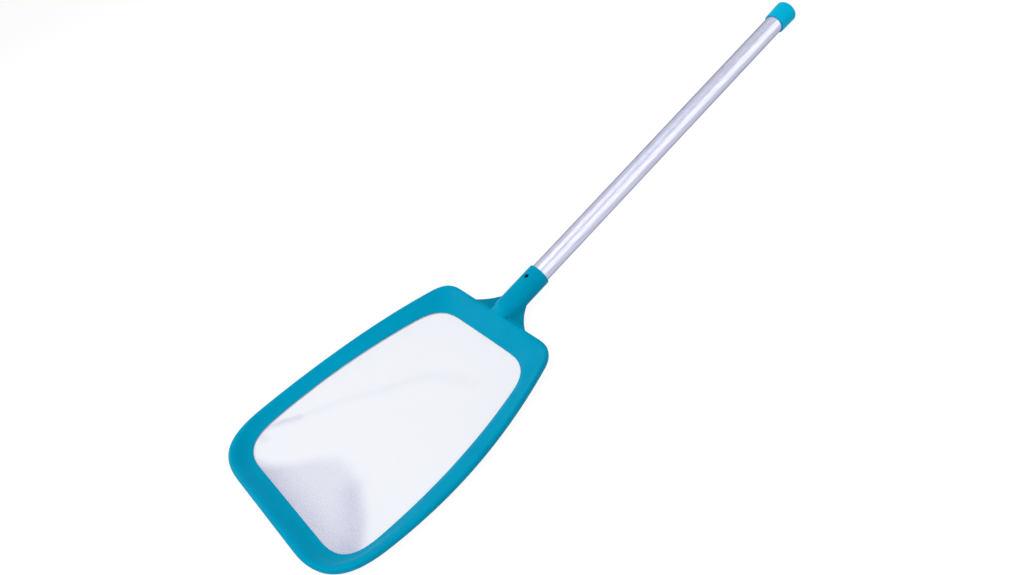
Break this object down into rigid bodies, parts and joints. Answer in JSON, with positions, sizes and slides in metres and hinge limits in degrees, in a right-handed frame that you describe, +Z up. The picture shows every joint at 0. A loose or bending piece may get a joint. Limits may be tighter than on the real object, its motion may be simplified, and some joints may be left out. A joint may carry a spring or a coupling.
{
  "type": "leaf skimmer net",
  "caption": "Dished leaf skimmer head with a flat clamped net, neck socket with gussets, snap-locked tubular handle and rounded end cap.",
  "frame": {"origin": "centre of the bounding box at its lowest level, under the head's rear end", "axes": "+Z up out of the net's upper face, +Y from the net towards the grip end, X across the head"},
  "size_m": [0.3494, 1.1046, 0.1365],
  "materials": {
    "frame": "semi-gloss moulded",
    "net": "fine woven mesh",
    "net_ring": "satin moulded",
    "tube": "drawn satin",
    "cap": "semi-gloss moulded",
    "button": "satin moulded",
    "spring": "spring strip"
  },
  "bodies": {
    "skimmer": {"frame": "frame", "net": "net", "net_ring": "net_ring", "handle_tube": "tube", "end_cap": "cap", "lock_spring": "spring"},
    "button": {"lock_button": "button"}
  },
  "joints": [
    {"name": "button_press", "type": "slide", "parent": "skimmer", "child": "button", "axis": [0, 0.1478, -0.989], "range_m": [0, 0.004], "stiffness_N_per_m": 900, "springref_m": -0.002, "deforming": ["lock_spring"]}
  ]
}
